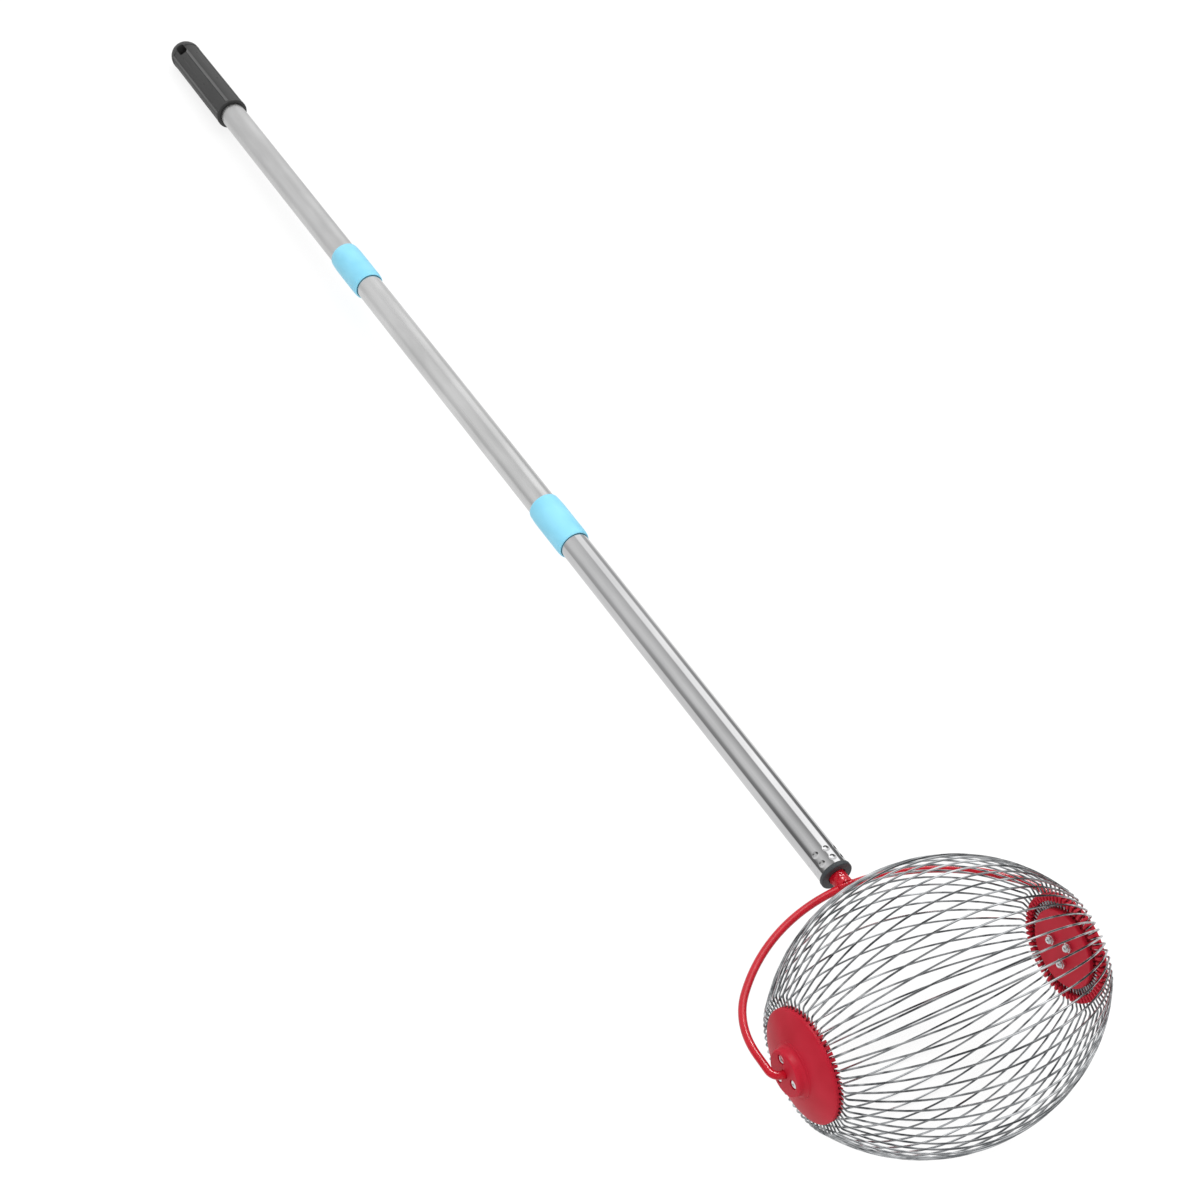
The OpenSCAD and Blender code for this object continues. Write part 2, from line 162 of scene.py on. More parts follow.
def arc(centre: Point, radius: float, start: float, stop: float, steps: int = 8) -> list[Point]:
    """Lists the points of an arc.

    Args:
        centre: Middle of the arc.
        radius: Its radius.
        start: First angle, in degrees.
        stop: Last angle, in degrees.
        steps: Number of chords.

    Returns:
        The points, both ends among them.
    """
    angles = [math.radians(start + (stop - start) * i / steps) for i in range(steps + 1)]
    return [(centre[0] + radius * math.cos(a), centre[1] + radius * math.sin(a)) for a in angles]


def deselect() -> None:
    """Leaves edit mode and deselects everything."""
    if bpy.context.mode != "OBJECT":
        bpy.ops.object.mode_set(mode="OBJECT")
    bpy.ops.object.select_all(action="DESELECT")


def pick(piece: Piece) -> None:
    """Makes a piece the only selected one."""
    deselect()
    piece.select_set(True)
    bpy.context.view_layer.objects.active = piece


def edit(piece: Piece) -> None:
    """Opens a piece in edit mode with all of it selected."""
    pick(piece)
    bpy.ops.object.mode_set(mode="EDIT")
    bpy.ops.mesh.select_mode(type="VERT")
    bpy.ops.mesh.select_all(action="SELECT")


def pick_faces(piece: Piece, wanted: Callable[[Vector], bool]) -> None:
    """Selects the faces whose middle passes a test, in edit mode.

    Args:
        piece: The piece that is open in edit mode.
        wanted: The test, given the middle of a face in mm.
    """
    bpy.ops.mesh.select_mode(type="FACE")
    bpy.ops.mesh.select_all(action="DESELECT")
    shape = bmesh.from_edit_mesh(piece.data)
    for face in shape.faces:
        face.select_set(wanted(face.calc_center_median() / MM))
    bmesh.update_edit_mesh(piece.data)


def named(name: str) -> Piece:
    """Names the piece that was just added or joined."""
    piece = bpy.context.active_object
    piece.name = piece.data.name = name
    return piece


def smooth(piece: Piece) -> Piece:
    """Smooths a piece but for its sharp edges."""
    pick(piece)
    bpy.ops.object.shade_smooth_by_angle(angle=SMOOTH_ANGLE)
    return piece


def ring_of(count: int, centre: Sequence[float], axis: Sequence[float]) -> None:
    """Copies the selected mesh all round an axis, in edit mode.

    Args:
        count: How many there are in the end.
        centre: A point on the axis, in metres.
        axis: The way it points.
    """
    reach = 2 * math.pi - 2 * math.pi / count
    bpy.ops.mesh.spin(steps=count - 1, dupli=True, angle=reach, center=centre, axis=axis)


def close_up(piece: Piece) -> Piece:
    """Merges doubles, fills open ends, turns the faces outwards and smooths a piece."""
    edit(piece)
    bpy.ops.mesh.remove_doubles(threshold=MERGE_MM * MM)
    bpy.ops.mesh.fill_holes(sides=0)
    bpy.ops.mesh.normals_make_consistent(inside=False)
    return smooth(piece)


def turned(name: str, profile: Sequence[Point], sides: int = 96, closed: bool = False) -> Piece:
    """Turns a profile about Z, as on a lathe.

    Args:
        name: Name of the piece.
        profile: Points of radius and height, in mm. The last may lie on the axis.
        sides: Number of sides.
        closed: Whether the profile returns to its first point.

    Returns:
        The piece, in its own frame.
    """
    deselect()
    points = [*profile, profile[0]] if closed else list(profile)
    radius, height = points[0]
    bpy.ops.mesh.primitive_circle_add(vertices=sides, radius=radius * MM, location=(0, 0, height * MM))
    piece = named(name)
    edit(piece)
    for (r, z), (next_r, next_z) in pairwise(points):
        bpy.ops.mesh.extrude_region_move(TRANSFORM_OT_translate={"value": (0, 0, (next_z - z) * MM)})
        if next_r == 0:
            bpy.ops.mesh.merge(type="CENTER")
        elif next_r != r:
            share = next_r / r
            bpy.ops.transform.resize(value=(share, share, 1), center_override=(0, 0, next_z * MM))
    return close_up(settle(piece))


def settle(piece: Piece, place: Matrix = UNMOVED) -> Piece:
    """Moves a piece to its place and leaves its object at the origin.

    Args:
        piece: The piece.
        place: Where its own frame goes.

    Returns:
        The same piece.
    """
    pick(piece)
    piece.matrix_world = place @ piece.matrix_world
    bpy.ops.object.transform_apply(location=True, rotation=True, scale=True)
    return piece


def copied(piece: Piece) -> Piece:
    """Copies a piece, with a mesh of its own."""
    pick(piece)
    bpy.ops.object.duplicate(linked=False)
    return bpy.context.active_object


def joined(pieces: Sequence[Piece], name: str) -> Piece:
    """Joins pieces into one.

    Args:
        pieces: The pieces to join.
        name: Name of the result.

    Returns:
        The joined piece.
    """
    deselect()
    for piece in pieces:
        piece.select_set(True)
    bpy.context.view_layer.objects.active = pieces[0]
    bpy.ops.object.join()
    return named(name)


def carve(piece: Piece, cutter: Piece) -> None:
    """Cuts one piece out of another and removes the cutter.

    Args:
        piece: The piece that loses material.
        cutter: The shape that is cut away.
    """
    pick(piece)
    cut = piece.modifiers.new("cut", "BOOLEAN")
    cut.operation = "DIFFERENCE"
    cut.solver = "EXACT"
    cut.object = cutter
    bpy.ops.object.modifier_apply(modifier=cut.name)
    bpy.data.objects.remove(cutter)
    smooth(piece)


def block(name: str, low: Sequence[float], high: Sequence[float]) -> Piece:
    """Makes a box between two corners given in mm.

    Args:
        name: Name of the piece.
        low: Lowest corner.
        high: Highest corner.

    Returns:
        The box, to be shaped further.
    """
    deselect()
    corner, far = Vector(low) * MM, Vector(high) * MM
    bpy.ops.mesh.primitive_cube_add(size=1, location=(corner + far) / 2, scale=far - corner)
    return settle(named(name))


def ball(radius: float, place: Sequence[float]) -> Piece:
    """Makes a ball with its radius and its middle given in mm."""
    deselect()
    bpy.ops.mesh.primitive_ico_sphere_add(subdivisions=3, radius=radius * MM, location=Vector(place) * MM)
    return bpy.context.active_object


class Bar:
    """A round bar bent stretch by stretch in the XY plane."""

    def __init__(self, name: str, radius: float, sides: int, start: Point) -> None:
        """Starts a bar that heads along +X.

        Args:
            name: Name of the piece.
            radius: Radius of the bar, in mm.
            sides: Number of sides.
            start: Where it starts, in mm.
        """
        deselect()
        self.end = Vector((*start, 0)) * MM
        self.heading = 0.0
        bpy.ops.mesh.primitive_circle_add(
            vertices=sides, radius=radius * MM, location=self.end, rotation=(QUARTER, 0, QUARTER)
        )
        self.piece = named(name)
        edit(self.piece)

    def stand_up(self) -> Bar:
        """Turns the start of the bar to head along +Y."""
        bpy.ops.transform.rotate(value=QUARTER, orient_axis="Z", center_override=self.end)
        self.heading = QUARTER
        return self

    def run(self, length: float) -> Bar:
        """Adds a straight stretch of a length in mm."""
        step = Vector((math.cos(self.heading), math.sin(self.heading), 0)) * length * MM
        bpy.ops.mesh.extrude_region_move(TRANSFORM_OT_translate={"value": step})
        self.end += step
        return self

    def turn(self, radius: float, angle: float, steps: int) -> Bar:
        """Adds a bend to the left.

        Args:
            radius: Radius of the bend, in mm.
            angle: Angle of the bend, in radians.
            steps: Number of chords.

        Returns:
            The same bar.
        """
        left = Vector((-math.sin(self.heading), math.cos(self.heading), 0)) * radius * MM
        centre = self.end + left
        bpy.ops.mesh.spin(steps=steps, angle=-angle, center=centre, axis=(0, 0, 1))
        self.heading += angle
        self.end = centre - Matrix.Rotation(angle, 3, "Z") @ left
        return self

    def finish(self) -> Piece:
        """Closes both ends and returns the piece."""
        return close_up(settle(self.piece))


# Finishes


def linear(colour: str) -> Colour:
    """Turns an sRGB hex colour to linear values with alpha.

    Args:
        colour: Such as "#a0b0c0".

    Returns:
        Red, green, blue and alpha.
    """
    parts = [int(colour[i : i + 2], 16) / 255 for i in (1, 3, 5)]
    return *(p / 12.92 if p <= 0.04045 else ((p + 0.055) / 1.055) ** 2.4 for p in parts), 1.0


def set_inputs(tree: Tree, node: bpy.types.Node, inputs: dict[Any, Any]) -> None:
    """Sets or links a node's inputs.

    Args:
        tree: The node's tree.
        node: The node.
        inputs: A value or an output socket for each input.
    """
    for name, value in inputs.items():
        if isinstance(value, Socket):
            tree.links.new(value, node.inputs[name])
        else:
            node.inputs[name].default_value = value


def add_node(tree: Tree, kind: str, inputs: dict[Any, Any], **settings: Any) -> bpy.types.Node:
    """Adds a node with its settings and links.

    Args:
        tree: The tree that gets the node.
        kind: The node's type.
        inputs: A value or an output socket for each input.
        settings: The node's own properties.

    Returns:
        The node.
    """
    node = tree.nodes.new(kind)
    for name, value in settings.items():
        setattr(node, name, value)
    set_inputs(tree, node, inputs)
    return node


@dataclass(frozen=True)
class Grain:
    """A noise whose specks have a real size along X, Y and Z, in mm."""

    size: Size
    layers: float = 2

    @classmethod
    def even(cls, size: float, layers: float = 2) -> Grain:
        """A grain whose specks are as long as wide."""
        return cls((size, size, size), layers)

    @property
    def is_long(self) -> bool:
        """Whether the specks are longer one way."""
        return min(self.size) < max(self.size)


@dataclass(frozen=True)
class Finish:
    """A surface finish: broad clouds of two colours under a fine skin.

    The skin sets the polish and the relief, whose depth is in mm and whose strength is the share that
    shows. On a worn finish the polish follows the clouds. The lean turns long grains about X, so that
    they run along the piece. Most real skins are finer: here they are as coarse as it takes to show.
    """

    name: str
    dark: str
    light: str
    clouds: Grain
    skin: Grain
    polish: Point
    depth: float = 0
    strength: float = 0
    lean: float = 0
    worn: bool = False
    constants: Sockets = ()

    def material(self) -> bpy.types.Material:
        """Returns the finish's material, made on first use."""
        found = bpy.data.materials.get(self.name)
        if found:
            return found
        made = bpy.data.materials.new(self.name)
        made.use_nodes = True
        tree = made.node_tree
        clouds, skin = self.noise(tree, self.clouds), self.noise(tree, self.skin)
        ramp = add_node(tree, "ShaderNodeValToRGB", {"Fac": clouds})
        for stop, place, colour in zip(ramp.color_ramp.elements, CLOUD_STOPS, (self.dark, self.light)):
            stop.position = place
            stop.color = linear(colour)
        shine = dict(zip(("From Min", "From Max", "To Min", "To Max"), NOISE_SPAN + self.polish))
        shine["Value"] = clouds if self.worn else skin
        inputs = {
            "Base Color": ramp.outputs["Color"],
            "Roughness": add_node(tree, "ShaderNodeMapRange", shine).outputs[0],
            **dict(self.constants),
        }
        if self.depth:
            bumps = {"Height": skin, "Distance": self.depth * MM, "Strength": self.strength}
            inputs["Normal"] = add_node(tree, "ShaderNodeBump", bumps).outputs["Normal"]
        set_inputs(tree, tree.nodes["Principled BSDF"], inputs)
        return made

    def noise(self, tree: Tree, grain: Grain) -> Socket:
        """Adds the noise of one grain, fixed to the piece.

        Args:
            tree: The tree that gets the nodes.
            grain: The grain.

        Returns:
            The noise, from 0 to 1.
        """
        place = add_node(tree, "ShaderNodeTexCoord", {}).outputs["Object"]
        turn = (self.lean if grain.is_long else 0, 0, 0)
        mapping = {"Vector": place, "Rotation": turn, "Scale": Vector(grain.size) * MM}
        scaled = add_node(tree, "ShaderNodeMapping", mapping, vector_type="TEXTURE").outputs["Vector"]
        inputs = {"Vector": scaled, "Scale": 1.0, "Detail": grain.layers}
        return add_node(tree, "ShaderNodeTexNoise", inputs).outputs[0]


@dataclass(frozen=True)
class DrawnTube(Finish):
    """Stainless steel tube: drawing and polishing leave fine lines along it that soften its streaks."""

    name: str = "polished_tube"
    dark: str = "#cfcfd0"
    light: str = "#dadadb"
    clouds: Grain = Grain((14, 60, 14))
    # Real drawing lines are a tenth as wide. These are as coarse as they need to be to show.
    skin: Grain = Grain((0.8, 160, 0.8))
    polish: Point = (0.07, 0.13)
    depth: float = 0.01
    strength: float = 0.25
    constants: Sockets = (("Metallic", 1.0),)


@dataclass(frozen=True)
class SpringWire(Finish):
    """Hard-drawn steel wire, bright with faint die marks and stretches that are darker with oil."""

    name: str = "drawn_spring_wire"
    dark: str = "#6e7174"
    light: str = "#d2d4d6"
    clouds: Grain = Grain((30, 5, 5))
    polish: Point = (0.06, 0.14)
    skin: Grain = Grain((4, 0.6, 0.6))
    constants: Sockets = (("Metallic", 1.0),)


@dataclass(frozen=True)
class BrightZinc(Finish):
    """Zinc-plated steel: bright, with a fine frost where the plating is thicker."""

    name: str = "bright_zinc"
    dark: str = "#dadcde"
    light: str = "#f0f0f0"
    clouds: Grain = Grain.even(0.9)
    polish: Point = (0.14, 0.28)
    skin: Grain = Grain.even(0.9)
    constants: Sockets = (("Metallic", 1.0),)


@dataclass(frozen=True)
class RedPowderCoat(Finish):
    """Glossy red powder coat on steel: a wet shine over the slow ripple called orange peel."""

    name: str = "red_powder_coat"
    dark: str = "#ae091e"
    light: str = "#bb0f24"
    clouds: Grain = Grain.even(18)
    polish: Point = (0.3, 0.4)
    skin: Grain = Grain.even(2.2, 1)
    depth: float = 0.12
    strength: float = 0.35
    constants: Sockets = (
        ("Specular IOR Level", 0.15),
        ("Coat Weight", 0.5),
        ("Coat Roughness", 0.05),
    )


@dataclass(frozen=True)
class RedAbs(Finish):
    """Moulded red ABS with a satin spark-eroded skin, so its highlights are broad and pinkish."""

    name: str = "red_abs"
    dark: str = "#ac172a"
    light: str = "#b61f32"
    clouds: Grain = Grain.even(26)
    polish: Point = (0.4, 0.5)
    skin: Grain = Grain.even(0.35)
    depth: float = 0.012
    strength: float = 0.3
    constants: Sockets = (("Specular IOR Level", 0.14),)


@dataclass(frozen=True)
class BluePolypropylene(Finish):
    """Moulded pale blue polypropylene: waxy, slightly see-through at its edges."""

    name: str = "blue_polypropylene"
    dark: str = "#7fc8e1"
    light: str = "#8ad1e9"
    clouds: Grain = Grain((20, 30, 20))
    polish: Point = (0.36, 0.46)
    skin: Grain = Grain.even(0.5)
    depth: float = 0.01
    strength: float = 0.25
    constants: Sockets = (
        ("Subsurface Weight", 0.15),
        ("Subsurface Radius", (0.6 * MM, 0.9 * MM, 1.1 * MM)),
    )


@dataclass(frozen=True)
class GreyVinyl(Finish):
    """Soft dark vinyl of the grip: matt, with a fine skin that handling has evened out."""

    name: str = "grey_vinyl"
    dark: str = "#303030"
    light: str = "#3a3a3a"
    clouds: Grain = Grain((10, 45, 10))
    polish: Point = (0.46, 0.6)
    skin: Grain = Grain.even(0.6)
    depth: float = 0.03
    strength: float = 0.4
    worn: bool = True


@dataclass(frozen=True)
class BlackNylon(Finish):
    """Moulded black nylon with a dull skin."""

    name: str = "black_nylon"
    dark: str = "#2e3235"
    light: str = "#383c3f"
    clouds: Grain = Grain.even(0.5)
    polish: Point = (0.42, 0.55)
    skin: Grain = Grain.even(0.5)
    depth: float = 0.02
    strength: float = 0.35


def dress(piece: Piece, finish: Finish, body: str, slot: str, *nodes: str) -> None:
    """Gives a new piece its finish, its body and the solids that it stands for.

    Args:
        piece: The piece.
        finish: Its finish.
        body: The body it moves with.
        slot: The record's material slot; not used.
        nodes: The solids it replaces.
    """
    if not piece.data.materials:
        piece.data.materials.append(finish.material())
    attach(piece, body)
    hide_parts(*nodes)
    LOG.info("%s: %d faces", piece.name, len(piece.data.polygons))


# Sub-assemblies


@dataclass(frozen=True)
class Cage:
    """The barrel of wires with its two caps, in mm from the middle of the axle."""

    axes: Axes
    wire_r: float = 0.75
    wire_count: int = 60
    arc_r: float = 150
    wire_run: float = 10.4
    bend_r: float = 4
    bare_l: float = 6.4
    hold_l: float = 5.5
    wire_gap: float = 0.05
    cap_r: float = 42
    disc_r: float = 30.5
    disc_l: float = 4.8
    ring_wall: float = 5.5
    tooth_l: float = 3.8
    slot_w: float = 1.9
    rim_l: float = 2.2
    dome_rise: float = 6.5
    boss_r: float = 17.5
    boss_fillet: float = 3.5
    boss_h: float = 7.5
    boss_round: float = 1.6
    bore_r: float = 3.075
    cavity_r: float = 7.4
    cavity_l: float = 5
    screw_count: int = 3
    screw_circle_r: float = 10.8
    screw_r: float = 2
    head_r: float = 3.5
    head_l: float = 3
    pocket_r: float = 3.65
    pocket_l: float = 3.2
    nut_flats: float = 7
    nut_l: float = 2.6
    nut_edge: float = 0.35
    nut_shoulder: float = 0.3
    nut_dome_sink: float = 0.4
    tooth_edge: float = 0.3
    edge: float = 0.5
    ledge: float = 0.6
    crown_share: float = 0.3
    head_edge: float = 0.2
    recess_l: float = 3.4
    recess_w: float = 0.8
    recess_d: float = 1.3
    recess_over: float = 1
    recess_taper: Size = (0.45, 0.7, 1)
    left_clock: float = 41
    right_clock: float = 87

    @property
    def stub_plane(self) -> float:
        """Plane of the straight wire ends."""
        return (self.arc_r + self.wire_run - self.bend_r) * math.cos(EIGHTH) + self.bend_r

    @property
    def kink_reach(self) -> float:
        """Distance from the axle to where a wire starts to bend."""
        return self.cap_r + self.bare_l

    @property
    def radius(self) -> float:
        """Radius of the cage at the wires' centre lines."""
        fall = (self.arc_r - self.wire_run - self.bend_r) * math.cos(EIGHTH)
        return self.kink_reach + self.arc_r - fall

    @property
    def base(self) -> float:
        """Face of a cap that the wires lie against."""
        return self.stub_plane + self.wire_r + self.wire_gap

    @property
    def boss_foot(self) -> float:
        """Height of the dome's top edge."""
        return self.base + self.rim_l + self.dome_rise

    @property
    def boss_top(self) -> float:
        """Outer face of the boss."""
        return self.boss_foot + self.boss_h

    def clock(self, side: Side) -> float:
        """Turn of one end's screws about the axle, in radians."""
        return math.radians(self.left_clock if side is Side.LEFT else self.right_clock)

    def build(self) -> None:
        """Models and dresses the whole cage."""
        self.wires()
        zinc = BrightZinc()
        screws, nuts = [], []
        for side in Side:
            self.cap(side)
            place = self.axes.on_end(side)
            screws += self.at_screws(self.screw(), side, place)
            nuts += self.at_screws(self.nut(), side, place)
        dress(joined(screws, "pan_head_screws"), zinc, "cage", "zinc", "cap_screws")
        dress(joined(nuts, "acorn_nuts"), zinc, "cage", "zinc", "dome_nuts")

    def wires(self) -> None:
        """Models one wire and copies it all round the axle."""
        stub = self.kink_reach - (self.disc_r - self.hold_l)
        start = (self.stub_plane, self.disc_r - self.hold_l)
        bar = Bar("spring_wires", self.wire_r, 10, start).stand_up()
        bar.run(stub).turn(self.bend_r, EIGHTH, 5).run(self.wire_run).turn(self.arc_r, QUARTER, 36)
        bar.run(self.wire_run).turn(self.bend_r, EIGHTH, 5).run(stub)
        wires = settle(bar.finish(), Matrix.Translation(self.axes.axle))
        edit(wires)
        half_pitch = math.pi / self.wire_count
        bpy.ops.transform.rotate(value=half_pitch, orient_axis="X", center_override=self.axes.axle)
        ring_of(self.wire_count, self.axes.axle, (1, 0, 0))
        deselect()
        quarters = ("upper_rear_wires", "upper_front_wires", "lower_front_wires", "lower_rear_wires")
        dress(wires, SpringWire(), "cage", "wire_steel", *quarters)

    def cap(self, side: Side) -> None:
        """Models one cap with its boss, its screw pockets and its teeth."""
        ridge = self.base + self.rim_l
        foot_r = self.boss_r + self.boss_fillet
        below = (self.cap_r**2 - foot_r**2 - self.dome_rise**2) / (2 * self.dome_rise)
        dome_r = math.hypot(self.cap_r, below)
        edge = self.edge
        fillet, rounding = self.boss_fillet, self.boss_round
        steps = 14
        dome = []
        for i in range(steps + 1):
            r = self.cap_r - edge + (foot_r - self.cap_r + edge) * i / steps
            dome.append((r, ridge - below + math.sqrt(dome_r**2 - r**2)))
        shell = turned(
            f"{side.name.lower()}_cap_shell",
            [
                (self.cavity_r, self.base),
                (self.cap_r - edge / 2, self.base),
                (self.cap_r, self.base + edge / 2),
                (self.cap_r, ridge - edge),
                (self.cap_r - edge / 4, ridge - edge / 4),
                *dome,
                (foot_r - edge / 2, self.boss_foot + self.ledge),
                *arc((foot_r - edge, self.boss_foot + fillet), fillet - self.ledge, 270, 180),
                *arc((self.boss_r - rounding, self.boss_top - rounding), rounding, 0, 90),
                (self.bore_r + edge, self.boss_top),
                (self.bore_r, self.boss_top - edge),
                (self.bore_r, self.base + self.cavity_l),
                (self.cavity_r, self.base + self.cavity_l),
            ],
            sides=160,
            closed=True,
        )
        floor = self.boss_top - self.pocket_l
        wall = [(self.pocket_r, floor), (self.pocket_r, self.boss_top + edge)]
        pocket = turned("pocket", wall, sides=40)
        for hole in self.at_screws(pocket, side, UNMOVED):
            carve(shell, hole)
        cap = joined([shell, self.teeth()], f"{side.name.lower()}_toothed_cap")
        settle(cap, self.axes.on_end(side))
        dress(cap, RedAbs(), "cage", "cap_plastic", f"{side.name.lower()}_cap")

    def teeth(self) -> Piece:
        """Models one tooth between two wires and copies it round the cap."""
        inner_r = self.cap_r - self.ring_wall
        pitch = 2 * math.pi / self.wire_count
        outer_w = self.cap_r * pitch - self.slot_w
        inner_w = inner_r * pitch - self.slot_w
        low = (inner_r, -outer_w / 2, self.base - self.tooth_l)
        teeth = block("teeth", low, (self.cap_r, outer_w / 2, self.base + self.rim_l / 2))
        edit(teeth)
        pick_faces(teeth, lambda middle: middle.x < inner_r + self.tooth_edge)
        bpy.ops.transform.resize(value=(1, inner_w / outer_w, 1))
        bpy.ops.mesh.select_all(action="SELECT")
        bpy.ops.mesh.bevel(offset=self.tooth_edge * MM, segments=2, affect="EDGES")
        bpy.ops.mesh.select_all(action="SELECT")
        ring_of(self.wire_count, (0, 0, 0), (0, 0, 1))
        return smooth(teeth)

    def screw_place(self, side: Side, i: int) -> Matrix:
        """Place of one screw round the axle, in the end's own frame."""
        turn = Matrix.Rotation(self.clock(side) + 2 * math.pi * i / self.screw_count, 4, "Z")
        return turn @ Matrix.Translation((self.screw_circle_r * MM, 0, 0))

    def at_screws(self, piece: Piece, side: Side, place: Matrix) -> list[Piece]:
        """Copies a piece to each screw place of one end and removes the model.

        Args:
            piece: The piece, drawn about the screw's axis.
            side: The end of the axle.
            place: Where that end's own frame goes.

        Returns:
            The copies.
        """
        copies = [copied(piece) for _ in range(self.screw_count)]
        bpy.data.objects.remove(piece)
        for i, copy in enumerate(copies):
            settle(copy, place @ self.screw_place(side, i))
        return copies

    def screw(self) -> Piece:
        """Models a pan-head screw with a cross recess."""
        seat = self.boss_top - self.pocket_l
        wall = (1 - self.crown_share) * self.head_l
        crown = [
            (self.head_r * x, seat + wall + (self.head_l - wall) * z) for x, z in arc((0, 0), 1, 0, 80)
        ]
        screw = turned(
            "screw",
            [
                (self.screw_r, self.base - self.disc_l),
                (self.screw_r, seat),
                (self.head_r - self.head_edge, seat),
                (self.head_r, seat + self.head_edge),
                *crown,
                (0, seat + self.head_l),
            ],
            sides=40,
        )
        top = seat + self.head_l
        half_l, half_w = self.recess_l / 2, self.recess_w / 2
        for turn in (0, QUARTER):
            low = (-half_l, -half_w, top - self.recess_d)
            wing = block("wing", low, (half_l, half_w, top + self.recess_over))
            edit(wing)
            pick_faces(wing, lambda middle: middle.z < top - self.recess_d / 2)
            bpy.ops.transform.resize(value=self.recess_taper)
            deselect()
            settle(wing, Matrix.Rotation(turn, 4, "Z"))
            carve(screw, wing)
        return screw

    def nut(self) -> Piece:
        """Models an acorn nut that stands on the clamp disc."""
        face = self.base - self.disc_l
        corner_r = self.nut_flats / 2 / math.cos(math.radians(30))
        deselect()
        middle = (0, 0, (face - self.nut_l / 2) * MM)
        bpy.ops.mesh.primitive_cylinder_add(
            vertices=6, radius=corner_r * MM, depth=self.nut_l * MM, location=middle
        )
        hexagon = settle(bpy.context.active_object)
        edit(hexagon)
        bpy.ops.mesh.bevel(offset=self.nut_edge * MM, segments=3, affect="EDGES")
        smooth(hexagon)
        dome_r = self.nut_flats / 2 - self.nut_shoulder
        foot = face - self.nut_l
        bow = arc((0, foot), dome_r, 0, -80, 9)
        dome = turned("dome", [(dome_r, foot + self.nut_dome_sink), *bow, (0, foot - dome_r)], sides=36)
        return joined([hexagon, dome], "nut")


